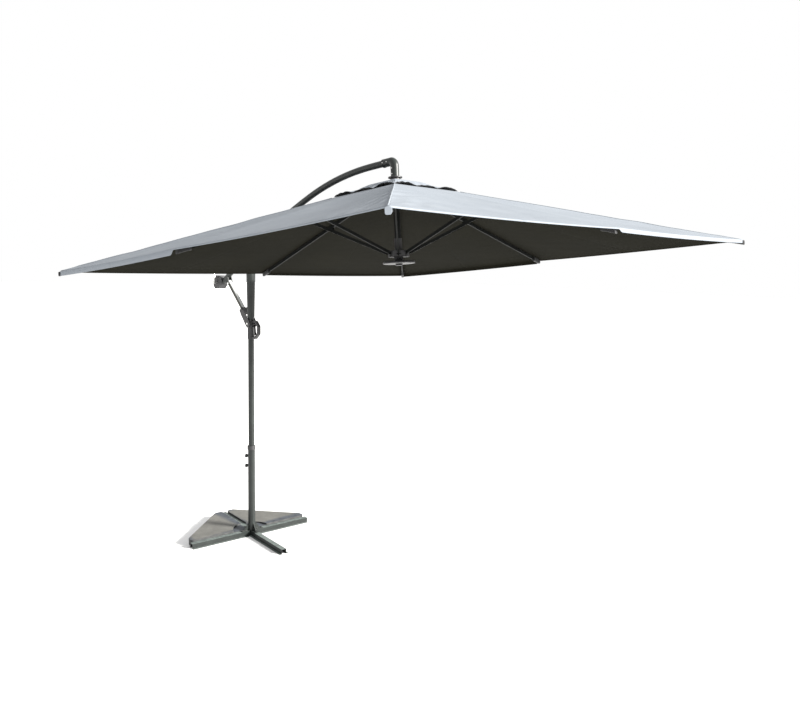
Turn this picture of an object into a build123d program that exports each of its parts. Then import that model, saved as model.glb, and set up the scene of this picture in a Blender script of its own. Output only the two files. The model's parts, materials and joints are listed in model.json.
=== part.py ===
"""Cantilever parasol, 3 x 3 m, on a cross base with two ballast slabs.

Frame: origin on the ground under the mast axis, +X from the mast towards the canopy, +Z up, millimetres.
The canopy has its own tilted frame: origin at the middle of the rim, z along the centre pole.
"""

import os
from math import asin, atan, atan2, cos, degrees, hypot, radians, sin, sqrt

from build123d import *

os.makedirs("parts", exist_ok=True)

# ---- cross base ----------------------------------------------------------------------------------
BASE_TURN = -5.1            # the cross stands turned a little under the mast
LEG_REACH = 517.0
LEG_TOP_HALF = 20.0
LEG_FOOT_HALF = 37.5
LEG_HEIGHT = 38.0
SHEET = 2.5
LEG_GAP = 0.3
CROSS_PLATE_HALF = 92.0
CROSS_PLATE_THICK = 4.0
GUSSET_REACH = 68.0
GUSSET_HEIGHT = 60.0
BOLT_RADIUS = 82.0
BOLT_R = 4.0

# ---- ballast slabs -------------------------------------------------------------------------------
SLAB_INNER = 23.0
SLAB_REACH = 505.0
SLAB_TRUNCATION = 60.0
SLAB_HEIGHT = 50.0
SLAB_WALL = 3.0
SLAB_STEP_RADIUS = 150.0
SLAB_STEP = 12.0
SLAB_CORNER_R = 22.0

# ---- stand pipe and mast -------------------------------------------------------------------------
STAND_R = 28.5
STAND_BORE = 25.5
STAND_TOP = 708.0
SEAT_TOP = 58.0
COLLAR_R = 33.0
COLLAR_HEIGHT = 33.0
KNOB_HEIGHTS = (573.0, 654.0)
KNOB_ANGLE = 215.0
KNOB_R = 15.0
STUD_R = 4.0
RUNNING_FIT = 0.05
MAST_R = 24.0
MAST_WALL = 2.5
MAST_TOP = 2176.0
HEAD_START = 1775.0
HEAD_CAP = 10.0
CHEEK_INNER = 22.5
CHEEK_THICK = 6.0
CHEEK_R = 20.0

# ---- tilt linkage: arm pivot, strut pivot and slider pivot make an isosceles triangle ------------
ARM_PIVOT_Z = 2335.0
SLIDER_PIVOT_Z = 1725.0
STRUT_PIVOT = (-305.0, (ARM_PIVOT_Z + SLIDER_PIVOT_Z) / 2)
PIVOT_PIN_R = 5.0
SLIDER_R = 28.0
SLIDER_TOP = 1757.0
SLIDER_BOTTOM = 1602.0
FORK_INNER = 29.0
FORK_THICK = 5.0

# ---- arm -----------------------------------------------------------------------------------------
ARM_R = 21.0
ARM_WALL = 2.0
TILT = 5.417                # rise of the outer side of the canopy at rest
ELBOW_RISE = 579.7          # from the rim to where the arm's line meets the centre pole's line
ARM_STRAIGHT = 209.6
ARM_BEND_R = 2280.4
ARM_BEND_END = 21.882
ARM_TAIL_R = 5694.5
ARM_TAIL_END = 35.2
CRANK_AXIS = (-460.0, 2033.0)
HOUSING_HALF = 33.0
HOUSING_WALL = 3.0

# ---- elbow, crown and hub, in the canopy's frame -------------------------------------------------
CANOPY_CENTRE = (1657.2, 2267.9)
ELBOW_R = 26.0
ELBOW_BEND = 30.0
ELBOW_SOCKET = 95.0
ELBOW_FOOT = 482.0
POLE_R = 19.0
POLE_END = 12.0
FLANGE_R = 44.0
HUB_R = 66.0
HUB_SLOT_FLOOR = 38.0
HUB_SLOT = 7.0
CROWN_PIVOT_Z = 428.0
PIVOT_R = 52.0
PIN_R = 2.5
PIN_HALF = 12.0
SLEEVE_R = 24.0
SLEEVE_TOP = 105.0
COVER_R = 100.0

# ---- ribs and their struts -----------------------------------------------------------------------
MID_TIP = (1490.0, -14.0)
CORNER_TIP = (2110.0, -14.0)
RIB_WIDTH = 12.0
RIB_HEIGHT = 20.0
TUBE_WALL = 1.0
RIB_TUBE_START = 30.0
JOINT_DROP = 32.0
MID_JOINT = 612.0
CORNER_JOINT = 593.14
TONGUE = 6.0
TONGUE_R = 8.0
PLUG = 14.0
STRUT_WIDTH = 10.0
STRUT_HEIGHT = 18.0
STRUT_TUBE_INSET = 30.0

# ---- fabric --------------------------------------------------------------------------------------
CANOPY_HALF = 1500.0
FABRIC = 1.2
FABRIC_APEX = 456.0
FABRIC_CLEARANCE = 3.0
VENT_HOLE = 230.0
VENT_HALF = 300.0
VENT_APEX = 472.0
VENT_RISE = 0.26
VENT_NECK = 36.0


def write(part, name):
    """Label a finished piece and write its file."""
    part.label = name
    export_step(part, f"parts/{name}.step")


def base_plane(direction, start=0.0, height=0.0):
    """Upright plane across a leg: local x is sideways, local y is up, the normal points along the leg."""
    a = radians(BASE_TURN + direction)
    origin = (start * cos(a), start * sin(a), height)
    return Plane(origin=origin, x_dir=(-sin(a), cos(a), 0), z_dir=(cos(a), sin(a), 0))


def base_level(height):
    """Level plane turned with the cross base."""
    a = radians(BASE_TURN)
    return Plane(origin=(0, 0, height), x_dir=(cos(a), sin(a), 0), z_dir=(0, 0, 1))


def side_plane(y=0.0, x=0.0, z=0.0):
    """Upright plane through the arm: local x is +X, local y is +Z, the normal points to -Y."""
    return Plane(origin=(x, y, z), x_dir=(1, 0, 0), z_dir=(0, -1, 0))


def canopy_dir(x, y, z):
    """Turn a direction from the canopy's frame into the object's."""
    t = radians(TILT)
    return (x * cos(t) - z * sin(t), y, x * sin(t) + z * cos(t))


def canopy_point(x, y, z):
    """Turn a point from the canopy's frame into the object's."""
    d = canopy_dir(x, y, z)
    return (CANOPY_CENTRE[0] + d[0], d[1], CANOPY_CENTRE[1] + d[2])


def canopy_level(z):
    """Plane square to the centre pole."""
    return Plane(origin=canopy_point(0, 0, z), x_dir=canopy_dir(1, 0, 0), z_dir=canopy_dir(0, 0, 1))


def rib_plane(azimuth, radius, z, slope, side=0.0):
    """Upright plane through a rib: local x runs out along it, local y is up from it."""
    a = radians(azimuth)
    s = radians(slope)
    origin = canopy_point(radius * cos(a) - side * sin(a), radius * sin(a) + side * cos(a), z)
    along = canopy_dir(cos(a) * cos(s), sin(a) * cos(s), -sin(s))
    return Plane(origin=origin, x_dir=along, z_dir=canopy_dir(sin(a), -cos(a), 0))


# ==================================================================================================
# Cross base
# ==================================================================================================
def hat_outline():
    """Half of a leg's section: a hat of bent sheet, open below."""
    inner = LEG_TOP_HALF - SHEET
    return [
        (0, LEG_HEIGHT - SHEET), (inner, LEG_HEIGHT - SHEET), (inner, 0), (LEG_FOOT_HALF, 0),
        (LEG_FOOT_HALF, SHEET), (LEG_TOP_HALF, SHEET), (LEG_TOP_HALF, LEG_HEIGHT), (0, LEG_HEIGHT),
    ]


def hat_envelope():
    """Half of the outline that a leg fills, with a weld gap."""
    foot, top = LEG_FOOT_HALF + LEG_GAP, LEG_TOP_HALF + LEG_GAP
    step = SHEET + LEG_GAP
    return [(0, -1), (foot, -1), (foot, step), (top, step), (top, LEG_HEIGHT + 1), (0, LEG_HEIGHT + 1)]


def mirrored_face(plane, half):
    """Face on a plane, from half an outline mirrored about the local y axis."""
    with BuildSketch(plane) as face:
        with BuildLine():
            Polyline(*half)
            mirror(about=Plane.YZ)
        make_face()
    return face.sketch


def outline_face(plane, points):
    """Face on a plane, from its corners."""
    with BuildSketch(plane) as face:
        with BuildLine():
            Polyline(*points, close=True)
        make_face()
    return face.sketch


with BuildPart() as long_leg:
    extrude(mirrored_face(base_plane(90, -LEG_REACH), hat_outline()), amount=2 * LEG_REACH)
    with BuildSketch(base_level(LEG_HEIGHT)):
        with PolarLocations(BOLT_RADIUS, 2, start_angle=90):
            Circle(BOLT_R + RUNNING_FIT)
    extrude(amount=-SHEET, mode=Mode.SUBTRACT)
write(long_leg.part, "long_leg")

for leg_name, leg_direction in (("front_leg", 0), ("back_leg", 180)):
    with BuildPart() as short_leg:
        extrude(mirrored_face(base_plane(leg_direction), hat_outline()), amount=LEG_REACH)
        crossing = mirrored_face(base_plane(90, -2 * LEG_FOOT_HALF), hat_envelope())
        extrude(crossing, amount=4 * LEG_FOOT_HALF, mode=Mode.SUBTRACT)
        with BuildSketch(base_level(LEG_HEIGHT)):
            with PolarLocations(BOLT_RADIUS, 1, start_angle=leg_direction):
                Circle(BOLT_R + RUNNING_FIT)
        extrude(amount=-SHEET, mode=Mode.SUBTRACT)
    write(short_leg.part, leg_name)

PLATE_TOP = LEG_HEIGHT + CROSS_PLATE_THICK

with BuildPart() as stand_pipe:
    with BuildSketch(base_level(LEG_HEIGHT)):
        Rectangle(2 * CROSS_PLATE_HALF, 2 * LEG_TOP_HALF - 2)
        Rectangle(2 * LEG_TOP_HALF - 2, 2 * CROSS_PLATE_HALF)
        with PolarLocations(BOLT_RADIUS, 4):
            Circle(BOLT_R + RUNNING_FIT, mode=Mode.SUBTRACT)
    extrude(amount=CROSS_PLATE_THICK)
    with BuildSketch(base_level(PLATE_TOP)):
        Circle(STAND_R)
    extrude(amount=STAND_TOP - PLATE_TOP)
    for direction in (0, 90):
        gusset = [(0, PLATE_TOP), (GUSSET_REACH, PLATE_TOP), (GUSSET_REACH, PLATE_TOP + 8),
                  (STAND_R, PLATE_TOP + GUSSET_HEIGHT), (0, PLATE_TOP + GUSSET_HEIGHT)]
        extrude(mirrored_face(base_plane(direction + 90), gusset), amount=2.0, both=True)
    for height in KNOB_HEIGHTS:
        a = radians(KNOB_ANGLE)
        nut = Plane(origin=(0, 0, height), x_dir=(0, 0, 1), z_dir=(cos(a), sin(a), 0))
        with BuildSketch(nut.offset(STAND_BORE)):
            RegularPolygon(9.0, 6)
        extrude(amount=9.5)
        with BuildSketch(nut):
            Circle(STUD_R + RUNNING_FIT)
        extrude(amount=60, mode=Mode.SUBTRACT)
    with BuildSketch(base_level(SEAT_TOP)):
        Circle(STAND_BORE)
    extrude(amount=STAND_TOP, mode=Mode.SUBTRACT)
write(stand_pipe.part, "stand_pipe")

with BuildPart() as base_bolts:
    with BuildSketch(base_level(LEG_HEIGHT - SHEET - 7)):
        with PolarLocations(BOLT_RADIUS, 4):
            Circle(BOLT_R)
    extrude(amount=SHEET + 7 + CROSS_PLATE_THICK + 1)
    with BuildSketch(base_level(PLATE_TOP)):
        with PolarLocations(BOLT_RADIUS, 4):
            RegularPolygon(7.0, 6)
    extrude(amount=5.3)
    with BuildSketch(base_level(LEG_HEIGHT - SHEET)):
        with PolarLocations(BOLT_RADIUS, 4):
            RegularPolygon(7.0, 6)
    extrude(amount=-6)
write(base_bolts.part, "base_bolts")


def slab_body(side, inset):
    """Solid of one slab: a truncated triangle with a low quarter round the mast, drawn in by an inset."""
    near = SLAB_INNER + inset
    far = SLAB_REACH - inset
    cut = SLAB_INNER + SLAB_TRUNCATION - 0.6 * inset
    with BuildPart() as slab:
        with BuildSketch(base_level(SHEET + inset)) as outline:
            with BuildLine():
                Polyline((-near, side * near), (-near, side * far), (-cut, side * far),
                         (-far, side * cut), (-far, side * near), close=True)
            make_face()
            fillet(outline.vertices().sort_by_distance((0, 0, 0))[1:], SLAB_CORNER_R - inset)
        extrude(amount=SLAB_HEIGHT - 2 * inset)
        with BuildSketch(base_level(SHEET + SLAB_HEIGHT - inset)):
            Circle(SLAB_STEP_RADIUS + inset)
        extrude(amount=-SLAB_STEP, mode=Mode.SUBTRACT)
    return slab.part


SIDES = {"left": -1, "right": 1}
slab_cores = []
for side_name, side in SIDES.items():
    casing = slab_body(side, 0)
    hollow = slab_body(side, SLAB_WALL)
    slab_cores.append(slab_body(side, SLAB_WALL + 0.2))
    with BuildPart() as slab_shell:
        add(casing)
        add(hollow, mode=Mode.SUBTRACT)
    write(slab_shell.part, f"slab_casing_{side_name}")

with BuildPart() as slab_core:
    add(slab_cores)
write(slab_core.part, "slab_concrete")

with BuildPart() as stand_collar:
    with BuildSketch(Plane.XY.offset(STAND_TOP)):
        Circle(COLLAR_R)
    extrude(amount=COLLAR_HEIGHT)
    fillet(stand_collar.edges().filter_by(GeomType.CIRCLE), 4.0)
    with BuildSketch(Plane.XY.offset(STAND_TOP)):
        Circle(STAND_BORE - 0.1)
    extrude(amount=-25)
    with BuildSketch(Plane.XY.offset(STAND_TOP - 30)):
        Circle(MAST_R + RUNNING_FIT)
    extrude(amount=100, mode=Mode.SUBTRACT)
write(stand_collar.part, "stand_collar")

for knob_name, knob_height in zip(("knob_lower", "knob_upper"), KNOB_HEIGHTS):
    with BuildPart() as knob:
        a = radians(KNOB_ANGLE)
        face = Plane(origin=(0, 0, knob_height), x_dir=(0, 0, 1), z_dir=(cos(a), sin(a), 0))
        with BuildSketch(face.offset(STAND_BORE + 10.5)):
            Circle(KNOB_R)
            with PolarLocations(KNOB_R + 4.0, 6):
                Circle(5.5, mode=Mode.SUBTRACT)
        extrude(amount=16.0)
        fillet(knob.faces().sort_by(Axis(face.origin, face.z_dir))[-1].edges(), 2.0)
        with BuildSketch(face.offset(MAST_R + 0.1)):
            Circle(STUD_R)
        extrude(amount=20.0)
    write(knob.part, knob_name)

# ==================================================================================================
# Mast and slider
# ==================================================================================================
with BuildPart() as mast_tube:
    with BuildSketch(Plane.XY.offset(SEAT_TOP + 0.2)):
        Circle(MAST_R)
        Circle(MAST_R - MAST_WALL, mode=Mode.SUBTRACT)
    extrude(amount=MAST_TOP - SEAT_TOP - 0.2)
write(mast_tube.part, "mast_tube")

with BuildPart() as mast_head:
    with BuildSketch(Plane.XY.offset(HEAD_START)):
        Ellipse(29.0, 29.0)
    with BuildSketch(Plane.XY.offset(MAST_TOP + HEAD_CAP)):
        Ellipse(33.0, 37.0)
    loft()
    with BuildSketch(Plane.XY.offset(HEAD_START - 1)):
        Circle(MAST_R)
    extrude(amount=MAST_TOP - HEAD_START + 1, mode=Mode.SUBTRACT)
    for cheek_y in (CHEEK_INNER + CHEEK_THICK, -CHEEK_INNER):
        with BuildSketch(side_plane(cheek_y)):
            with BuildLine():
                Polyline((-CHEEK_R, MAST_TOP), (CHEEK_R, MAST_TOP),
                         (CHEEK_R, ARM_PIVOT_Z), (-CHEEK_R, ARM_PIVOT_Z), close=True)
            make_face()
            with Locations((0, ARM_PIVOT_Z)):
                Circle(CHEEK_R)
                Circle(PIVOT_PIN_R, mode=Mode.SUBTRACT)
        extrude(amount=CHEEK_THICK)
write(mast_head.part, "mast_head")

PIN_OUT = CHEEK_INNER + CHEEK_THICK

with BuildPart() as arm_pin:
    with BuildSketch(side_plane(PIN_OUT + 2, 0, ARM_PIVOT_Z)):
        Circle(PIVOT_PIN_R)
    extrude(amount=2 * (PIN_OUT + 2))
    for start in (PIN_OUT + 5, -PIN_OUT):
        with BuildSketch(side_plane(start, 0, ARM_PIVOT_Z)):
            Circle(9.0)
        extrude(amount=5.0)
    head_edges = arm_pin.edges().filter_by(GeomType.CIRCLE).filter_by(lambda edge: edge.radius > 8.9)
    fillet(head_edges, 1.2)
write(arm_pin.part, "arm_pin")

HANDLE_OUTER = [(SLIDER_R - 2, 1607), (68, 1607), (116, 1650), (116, 1712), (78, 1751), (SLIDER_R - 2, 1751)]
HANDLE_INNER = [(SLIDER_R - 2, 1622), (62, 1622), (100, 1657), (100, 1706), (71, 1736), (SLIDER_R - 2, 1736)]
HANDLE_HALF = 13.0
LEVER_PIVOT = (43.0, 1722.0)
LEVER_HALF = 8.0
EAR_END = LEVER_PIVOT[0] + 6
EAR_OUT = 12.5

with BuildPart() as slider_body:
    with BuildSketch(Plane.XY.offset(SLIDER_BOTTOM)):
        Circle(SLIDER_R)
    extrude(amount=SLIDER_TOP - SLIDER_BOTTOM)
    fillet(slider_body.edges().filter_by(GeomType.CIRCLE), 1.5)
    for ear_y in (EAR_OUT, -LEVER_HALF - 0.5):
        with BuildSketch(side_plane(ear_y)):
            with BuildLine():
                Polyline((20, 1714), (EAR_END, 1714), (EAR_END, 1729), (20, 1729), close=True)
            make_face()
            with Locations(LEVER_PIVOT):
                Circle(PIN_R + RUNNING_FIT, mode=Mode.SUBTRACT)
        extrude(amount=EAR_OUT - LEVER_HALF - 0.5)
    with BuildSketch(side_plane(SLIDER_R, 0, SLIDER_PIVOT_Z)):
        Circle(PIVOT_PIN_R)
    extrude(amount=2 * SLIDER_R, mode=Mode.SUBTRACT)
    with BuildSketch(Plane.XY.offset(SLIDER_BOTTOM - 1)):
        Circle(MAST_R + RUNNING_FIT)
    extrude(amount=SLIDER_TOP, mode=Mode.SUBTRACT)
write(slider_body.part, "slider_body")

with BuildPart() as slider_pins:
    for start, reach in ((FORK_INNER + FORK_THICK + 3, 12.5), (-MAST_R - 0.5, 12.5)):
        with BuildSketch(side_plane(start, 0, SLIDER_PIVOT_Z)):
            Circle(PIVOT_PIN_R)
        extrude(amount=reach)
    for start in (FORK_INNER + FORK_THICK + 4, -FORK_INNER - FORK_THICK - 0.3):
        with BuildSketch(side_plane(start, 0, SLIDER_PIVOT_Z)):
            Circle(8.0)
        extrude(amount=3.7)
write(slider_pins.part, "slider_pins")

with BuildPart() as slider_handle:
    with BuildSketch(side_plane(HANDLE_HALF)) as loop:
        for outline, mode in ((HANDLE_OUTER, Mode.ADD), (HANDLE_INNER, Mode.SUBTRACT)):
            with BuildLine():
                Polyline(*outline, close=True)
            make_face(mode=mode)
        fillet(loop.vertices().filter_by(lambda v: v.X > SLIDER_R), 12.0)
    extrude(amount=2 * HANDLE_HALF)
    with BuildSketch(Plane.XY.offset(SLIDER_BOTTOM)):
        Circle(SLIDER_R)
    extrude(amount=SLIDER_TOP - SLIDER_BOTTOM, mode=Mode.SUBTRACT)
write(slider_handle.part, "slider_handle")

with BuildPart() as slider_lever:
    with BuildSketch(side_plane(LEVER_HALF)) as blade:
        with BuildLine():
            Polyline(LEVER_PIVOT, (LEVER_PIVOT[0] - 6, LEVER_PIVOT[1] - 12), (38, 1690), (46, 1650), (58, 1636),
                     (66, 1642), (60, 1664), (56, 1694), (LEVER_PIVOT[0] + 6, LEVER_PIVOT[1] - 6), close=True)
        make_face()
        with Locations(LEVER_PIVOT):
            Circle(6.5)
    extrude(amount=2 * LEVER_HALF)
    with BuildSketch(side_plane(EAR_OUT - 0.5)):
        with Locations(LEVER_PIVOT):
            Circle(PIN_R)
    extrude(amount=2 * EAR_OUT - 1)
write(slider_lever.part, "slider_lever")

# ==================================================================================================
# Tilt strut
# ==================================================================================================
STRUT_REACH = hypot(STRUT_PIVOT[0], STRUT_PIVOT[1] - SLIDER_PIVOT_Z)
FORK_START = STRUT_REACH - 150.0
FORK_FLOOR = STRUT_REACH - 120.0
FORK_END = STRUT_REACH - 112.0
STRUT_SECTION = (34.0, 28.0)
FORK_LOW = 20.0
FORK_BLOCK_TOP = 25.0
FORK_TOP = 33.0
FORK_EYE = 30.0


def strut_side(y):
    """Upright plane along the tilt strut: local x runs from its upper pivot down to the slider pivot."""
    down = (-STRUT_PIVOT[0], 0, SLIDER_PIVOT_Z - STRUT_PIVOT[1])
    return Plane(origin=(STRUT_PIVOT[0], y, STRUT_PIVOT[1]), x_dir=down, z_dir=(0, -1, 0))


def strut_across(distance):
    """Plane across the tilt strut: local x is sideways in the arm's plane, local y is along Y."""
    side = strut_side(0)
    origin = side.origin + side.x_dir * distance
    return Plane(origin=origin, x_dir=side.y_dir, z_dir=side.x_dir)


with BuildPart() as tilt_strut:
    with BuildSketch(strut_across(-20)):
        RectangleRounded(*STRUT_SECTION, 6.0)
        RectangleRounded(STRUT_SECTION[0] - 4, STRUT_SECTION[1] - 4, 4.0, mode=Mode.SUBTRACT)
    extrude(amount=FORK_FLOOR + 20)
    with BuildSketch(strut_side(20)):
        Circle(PIVOT_PIN_R + RUNNING_FIT)
    extrude(amount=40, mode=Mode.SUBTRACT)
write(tilt_strut.part, "tilt_strut")

with BuildPart() as strut_fork:
    with BuildSketch(strut_across(FORK_START)):
        with Locations(((FORK_BLOCK_TOP - FORK_LOW) / 2, 0)):
            RectangleRounded(FORK_BLOCK_TOP + FORK_LOW, 2 * (FORK_INNER + FORK_THICK), 6.0)
    extrude(amount=FORK_END - FORK_START)
    with BuildSketch(strut_across(FORK_START - 1)):
        RectangleRounded(*STRUT_SECTION, 6.0)
    extrude(amount=FORK_FLOOR - FORK_START + 1, mode=Mode.SUBTRACT)
    for cheek_y in (FORK_INNER + FORK_THICK, -FORK_INNER):
        with BuildSketch(strut_side(cheek_y)):
            with BuildLine():
                Polyline((FORK_END - 12, -FORK_LOW), (STRUT_REACH, -FORK_EYE), (STRUT_REACH, FORK_EYE),
                         (STRUT_REACH - 20, FORK_TOP), (FORK_END, FORK_TOP),
                         (FORK_END - 12, FORK_BLOCK_TOP), close=True)
            make_face()
            with Locations((STRUT_REACH, 0)):
                Circle(FORK_EYE)
                Circle(PIVOT_PIN_R + RUNNING_FIT, mode=Mode.SUBTRACT)
        extrude(amount=FORK_THICK)
write(strut_fork.part, "strut_fork")

# ==================================================================================================
# Arm, crank and elbow
# ==================================================================================================
ARM_ALONG = (cos(radians(TILT)), sin(radians(TILT)))
POLE_DOWN = (sin(radians(TILT)), -cos(radians(TILT)))
ELBOW = tuple(CANOPY_CENTRE[i] - ELBOW_RISE * POLE_DOWN[i] for i in (0, 1))


def from_elbow(along, down=0.0):
    """Point in the arm's plane, measured from the corner of the elbow."""
    return tuple(ELBOW[i] + along * ARM_ALONG[i] + down * POLE_DOWN[i] for i in (0, 1))


def arm_point(angle):
    """Point and place on the tail arc of the arm where its slope is the given angle."""
    start = from_elbow(-ARM_STRAIGHT)
    for radius, low, high in ((ARM_BEND_R, TILT, ARM_BEND_END), (ARM_TAIL_R, ARM_BEND_END, angle)):
        run = radius * (sin(radians(high)) - sin(radians(low)))
        fall = radius * (cos(radians(low)) - cos(radians(high)))
        start = (start[0] - run, start[1] - fall)
    return start


def arm_slope(x):
    """Slope of the tail arc where it passes over a given x."""
    end_x = arm_point(ARM_TAIL_END)[0]
    return degrees(asin(sin(radians(ARM_TAIL_END)) - (x - end_x) / ARM_TAIL_R))


def arm_local(x, z, y):
    """Upright plane at a point near the arm, with local x along the arm there."""
    s = radians(arm_slope(x))
    return Plane(origin=(x, y, z), x_dir=(cos(s), 0, sin(s)), z_dir=(0, -1, 0))


def arm_distance(x, z):
    """Distance from a point to the arm's line, square to it."""
    slope = arm_slope(x)
    return abs(arm_point(slope)[1] - z) * cos(radians(slope))


ARM_TAIL = arm_point(ARM_TAIL_END)
LUG_DROP = arm_distance(0, ARM_PIVOT_Z)
BRACKET_RISE = arm_distance(*STRUT_PIVOT)

with BuildPart() as arm_tube:
    with BuildLine(side_plane()) as arm_path:
        top = Line(from_elbow(-ELBOW_BEND - 4), from_elbow(-ARM_STRAIGHT))
        bend = JernArc(top @ 1, top % 1, ARM_BEND_R, ARM_BEND_END - TILT)
        JernArc(bend @ 1, bend % 1, ARM_TAIL_R, ARM_TAIL_END - ARM_BEND_END)
    arm_mouth = Plane(origin=arm_path.line @ 0, z_dir=arm_path.line % 0)
    with BuildSketch(arm_mouth):
        Circle(ARM_R)
    sweep(path=arm_path.line)
    with BuildSketch(arm_local(0, ARM_PIVOT_Z, 12)):
        with BuildLine():
            Polyline((-9.4, 0), (9.4, 0), (22, 8 - LUG_DROP), (-22, 8 - LUG_DROP), close=True)
        make_face()
    extrude(amount=24)
    with BuildSketch(arm_local(0, ARM_PIVOT_Z, 22)):
        Circle(9.5)
    extrude(amount=44)
    with BuildSketch(arm_local(0, ARM_PIVOT_Z, 23)):
        Circle(PIVOT_PIN_R + RUNNING_FIT)
    extrude(amount=46, mode=Mode.SUBTRACT)
    for plate_y in (18.5, -14.5):
        with BuildSketch(arm_local(*STRUT_PIVOT, plate_y)):
            with BuildLine():
                Polyline((-13, 0), (13, 0), (28, BRACKET_RISE - 4), (-28, BRACKET_RISE - 4), close=True)
            make_face()
            Circle(13.0)
            Circle(PIVOT_PIN_R, mode=Mode.SUBTRACT)
        extrude(amount=4.0)
    with BuildSketch(arm_mouth):
        Circle(ARM_R - ARM_WALL)
    sweep(path=arm_path.line, mode=Mode.SUBTRACT)
write(arm_tube.part, "arm_tube")

with BuildPart() as strut_pin:
    with BuildSketch(side_plane(20, *STRUT_PIVOT)):
        Circle(PIVOT_PIN_R)
    extrude(amount=40)
    for start in (22.5, -18.5):
        with BuildSketch(side_plane(start, *STRUT_PIVOT)):
            Circle(8.5)
        extrude(amount=4.0)
write(strut_pin.part, "strut_pin")

HOUSING = [
    (-512, 2064), (-512, 2008), (-488, 1983), (-434, 1983),
    (-406, 2008), (-388, 2058), (-404, 2090), (-488, 2090),
]
ARM_MOUTH = Plane(origin=(ARM_TAIL[0], 0, ARM_TAIL[1]), x_dir=(0, 1, 0),
                  z_dir=(cos(radians(ARM_TAIL_END)), 0, sin(radians(ARM_TAIL_END))))

for half_name, outer_y, inner_y in (("left", 0.0, 0.0), ("right", HOUSING_HALF, HOUSING_HALF - HOUSING_WALL)):
    with BuildPart() as housing:
        with BuildSketch(side_plane(outer_y)) as casing_face:
            with BuildLine():
                Polyline(*HOUSING, close=True)
            make_face()
            fillet(casing_face.vertices(), 9.0)
        extrude(amount=HOUSING_HALF)
        with BuildSketch(side_plane(inner_y)) as hollow_face:
            with BuildLine():
                Polyline(*HOUSING, close=True)
            make_face()
            fillet(hollow_face.vertices(), 9.0)
            offset(amount=-HOUSING_WALL, mode=Mode.REPLACE)
        extrude(amount=HOUSING_HALF - HOUSING_WALL, mode=Mode.SUBTRACT)
        with BuildSketch(ARM_MOUTH.offset(-1)):
            Circle(ARM_R + 0.05)
        extrude(amount=60, mode=Mode.SUBTRACT)
        with BuildSketch(side_plane(40, *CRANK_AXIS)):
            Circle(6 + RUNNING_FIT)
        extrude(amount=80, mode=Mode.SUBTRACT)
    write(housing.part, f"crank_housing_{half_name}")

with BuildPart() as crank_shaft:
    with BuildSketch(side_plane(HOUSING_HALF + 2, *CRANK_AXIS)):
        Circle(6.0)
    extrude(amount=HOUSING_HALF + 2 + 61)
    with BuildSketch(side_plane(-58.5, *CRANK_AXIS)):
        RegularPolygon(9.0, 6)
    extrude(amount=5.0)
write(crank_shaft.part, "crank_shaft")

with BuildPart() as winding_drum:
    for start, amount, radius in ((20.0, 40.0, 13.0), (22.0, 3.0, 24.0), (-19.0, 3.0, 24.0)):
        with BuildSketch(side_plane(start, *CRANK_AXIS)):
            Circle(radius)
        extrude(amount=amount)
    with BuildSketch(side_plane(25, *CRANK_AXIS)):
        Circle(6.0)
    extrude(amount=50, mode=Mode.SUBTRACT)
write(winding_drum.part, "winding_drum")

CRANK_END = (-8.0, 132.0)

with BuildPart() as crank_arm:
    with BuildSketch(side_plane(-51.0, *CRANK_AXIS)):
        with BuildLine():
            Polyline((-10, 0), (10, 0), (CRANK_END[0] + 8, CRANK_END[1]),
                     (CRANK_END[0] - 8, CRANK_END[1]), close=True)
        make_face()
        Circle(10.0)
        with Locations(CRANK_END):
            Circle(8.0)
        Circle(6.0, mode=Mode.SUBTRACT)
    extrude(amount=7.0)
    with BuildSketch(side_plane(-51.0, *CRANK_AXIS)):
        with Locations(CRANK_END):
            Circle(4.0)
    extrude(amount=88.0)
    with BuildSketch(side_plane(-136.0, *CRANK_AXIS)):
        with Locations(CRANK_END):
            Circle(7.0)
    extrude(amount=3.0)
write(crank_arm.part, "crank_arm")

with BuildPart() as crank_grip:
    with BuildSketch(side_plane(-59.0, *CRANK_AXIS)):
        with Locations(CRANK_END):
            Circle(11.5)
    extrude(amount=76.5)
    fillet(crank_grip.edges().filter_by(GeomType.CIRCLE), 3.0)
    with BuildSketch(side_plane(-58.0, *CRANK_AXIS)):
        with Locations(CRANK_END):
            Circle(4.0 + RUNNING_FIT)
    extrude(amount=80, mode=Mode.SUBTRACT)
write(crank_grip.part, "crank_grip")

SCREW_PLACES = [from_elbow(-46), from_elbow(-82), from_elbow(0, 46), from_elbow(0, 80)]
PULLEY_CENTRE = from_elbow(-ELBOW_BEND + ELBOW_BEND / sqrt(2), ELBOW_BEND - ELBOW_BEND / sqrt(2))
PULLEY_PIN_R = 3.0
PULLEY_STEPS = ((5.0, 10.0, 10.5), (5.0, 2.0, 14.0), (-3.0, 2.0, 14.0), (25.5, 51.0, PULLEY_PIN_R))

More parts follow.
